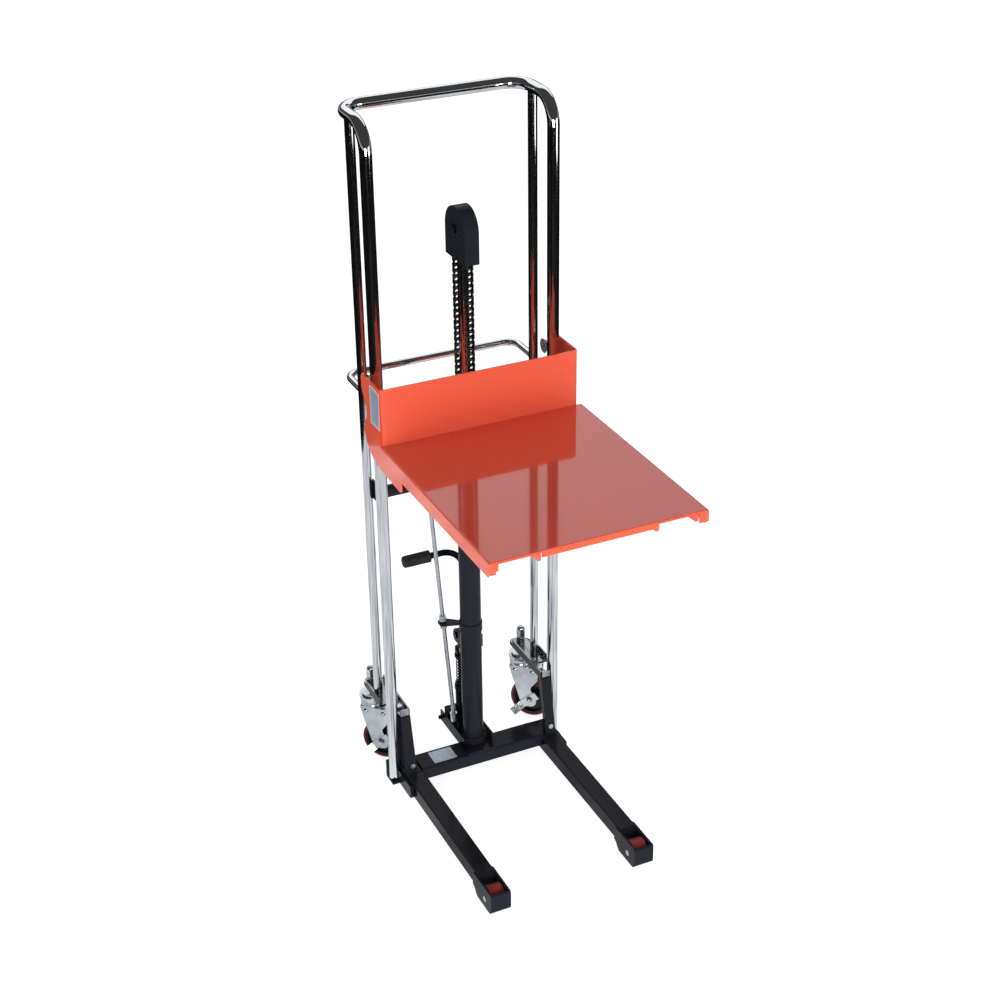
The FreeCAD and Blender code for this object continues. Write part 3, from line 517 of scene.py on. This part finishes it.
def make_caster_details():
    """Ball race, rivets and hub seals."""
    trail, axle_z, hub_face, cheek_face, rivet_z = 35, 62.5, 22.6, -28, 160
    across = Matrix.Rotation(SWIVEL, 3, "Z") @ Vector((0, -1, 0))
    race = [(175.3, 31.5), (177, 33.6), (180, 34.4), (184, 33.4), (187, 31.4), (189, 33), (193, 34.6),
            (197.6, 35.4), (198.8, 35.4)]
    rivet = [(0, 7.2), (1.6, 7.0), (3.2, 5.6), (4.2, 3.2), (4.5, 0.8)]
    seal = [(0, 13.5), (0.8, 13.5), (0.8, 11.5), (0.2, 11.2), (0.2, 9.4), (0.9, 9.0), (0.9, 7.6)]
    for side, name in ((-1, "left"), (1, "right")):
        solid = Solid()
        solid.lathe(on_caster(side, 0, 0, 0), (0, 0, 1), race, 48)
        for x in (44, -10):
            solid.lathe(on_caster(side, x, cheek_face, rivet_z), across, rivet, 20)
        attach(solid.piece("caster_fittings_" + name, "zinc_steel"), "caster_" + name)
        hub = Solid()
        for way in (-1, 1):
            hub.lathe(on_caster(side, trail, way * hub_face, axle_z), across * -way, seal, 28)
        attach(hub.piece("hub_seals_" + name, "guide_steel"), "caster_wheel_" + name)


def make_roller_seals():
    """Seal rings round the load rollers' axles."""
    roller_y, axle_z = -586, 33
    profile = [(0, 15), (0.9, 15), (0.9, 13), (0.3, 12.7), (0.3, 10.4), (1.0, 10), (1.0, 8.4)]
    for side, name in ((-1, "left"), (1, "right")):
        seals = Solid()
        for x, way in ((231.6, 1), (192.4, -1)):
            seals.lathe((side * x, roller_y, axle_z), (side * way, 0, 0), profile, 28)
        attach(seals.piece("load_roller_seals_" + name, "guide_steel"), "load_roller_" + name)


make_chain()
make_spring()
make_grip()
make_welds()
make_kingpin_details()
make_caster_details()
make_roller_seals()


# ---- stage: floor, light and camera ------------------------------------------------------------

def plain_material(name, colour, emission, dim=(1, 1, 1)):
    """A glowing matt surface, cloudy between dim and full strength."""
    g = Graph(name)
    grain = g.noise(3, 3)
    shade = tuple(c * 0.99 for c in colour)
    g.set(base=g.ramp(grain, [(0.3, shade), (0.7, colour)]), rough=0.9, specular=0.0)
    g.link(g.ramp(grain, [(0.40, dim), (0.58, (1, 1, 1))]), g.shader.inputs["Emission Color"])
    g.shader.inputs["Emission Strength"].default_value = emission
    return g.material


def ring_object(name, first, second, material, centre=(0, 0)):
    """A band between two circles, each given by its radius and height; a tiny first one is filled in."""
    mesh = bpy.data.meshes.new(name)
    build = bmesh.new()
    count = 96
    rings = [[build.verts.new((MAST_X + centre[0] + r * math.cos(2 * math.pi * i / count),
                               MAST_Y + centre[1] + r * math.sin(2 * math.pi * i / count), z))
              for i in range(count)]
             for r, z in (first, second)]
    for i in range(count):
        j = (i + 1) % count
        build.faces.new((rings[0][i], rings[1][i], rings[1][j], rings[0][j]))
    if first[0] < 0.02:
        build.faces.new(rings[0])
    build.to_mesh(mesh)
    build.free()
    obj = bpy.data.objects.new(name, mesh)
    mesh.materials.append(material)
    bpy.context.collection.objects.link(obj)
    return obj


def card(name, radius, z, colour, emission, dim=(1, 1, 1), centre=(0, 0)):
    return ring_object(name, (0.01, z), (radius, z), plain_material(name, colour, emission, dim), centre)


def area_light(name, place, target, size, power):
    data = bpy.data.lights.new(name, "AREA")
    data.shape, data.size, data.size_y, data.energy = "RECTANGLE", size, size, power
    obj = bpy.data.objects.new(name, data)
    obj.location = place
    obj.rotation_euler = (Vector(target) - Vector(place)).to_track_quat("-Z", "Y").to_euler()
    bpy.context.collection.objects.link(obj)
    return obj


def studio():
    black, paper_r = (0.01, 0.01, 0.01), 2.3
    floor = card("studio_floor", 60, -0.0005, (0.93, 0.93, 0.93), 0.75)
    wall = ring_object("studio_wall", (58, -1), (58, 90), plain_material("studio_wall", black, 1.0))
    wall.visible_diffuse = wall.visible_glossy = wall.visible_shadow = False
    # what only the gloss and chrome show: grey paper, a dark room and a bright ceiling at its far end
    paper = card("studio_grey", paper_r, 0.001, black, 0.85, (0.50, 0.55, 0.60))
    carpet = ring_object("studio_carpet", (paper_r, 0.002), (50, 0.002),
                         plain_material("studio_carpet", black, 0.0))
    ceiling = card("studio_ceiling", 6.5, 5.5, black, 1.05, centre=(3.8, 8.1))
    dusk = card("studio_dusk", 50, 5.6, black, 0.035)
    for part in (paper, carpet, ceiling, dusk):
        part.visible_camera = part.visible_diffuse = part.visible_shadow = False

    world = bpy.data.worlds.new("studio_world")
    bpy.context.scene.world = world
    world.use_nodes = True
    world.node_tree.nodes["Background"].inputs["Color"].default_value = (0.96, 0.98, 1.0, 1)
    world.node_tree.nodes["Background"].inputs["Strength"].default_value = 0.42

    area_light("key", (-1.6, -4.2, 1.5), (0, 0, 1.1), 1.8, 95)
    area_light("fill", (2.8, -3.0, 1.4), (0, 0, 0.9), 2.0, 25)


def camera():
    """The viewpoint: looking along the azimuth from the deck's left, from above, with a slight roll."""
    azimuth, elevation, roll = map(math.radians, (-24.95, 28.51, -0.739))
    target, distance = at(91.1, 0, 853.9), 4.9933
    back = Vector((math.sin(azimuth) * math.cos(elevation), -math.cos(azimuth) * math.cos(elevation),
                   math.sin(elevation)))
    right = Vector((math.cos(azimuth), math.sin(azimuth), 0))
    up = back.cross(right)
    turned = right * math.cos(roll) + up * math.sin(roll)
    upward = up * math.cos(roll) - right * math.sin(roll)
    data = bpy.data.cameras.new("camera")
    data.sensor_width, data.lens = 36, 66.1
    data.clip_start, data.clip_end = 0.1, 200
    obj = bpy.data.objects.new("camera", data)
    obj.matrix_world = Matrix.Translation(target + back * distance) @ Matrix(
        (turned, upward, back)).transposed().to_4x4()
    bpy.context.collection.objects.link(obj)
    bpy.context.scene.camera = obj


studio()
camera()
bpy.context.scene.view_settings.view_transform = "Standard"
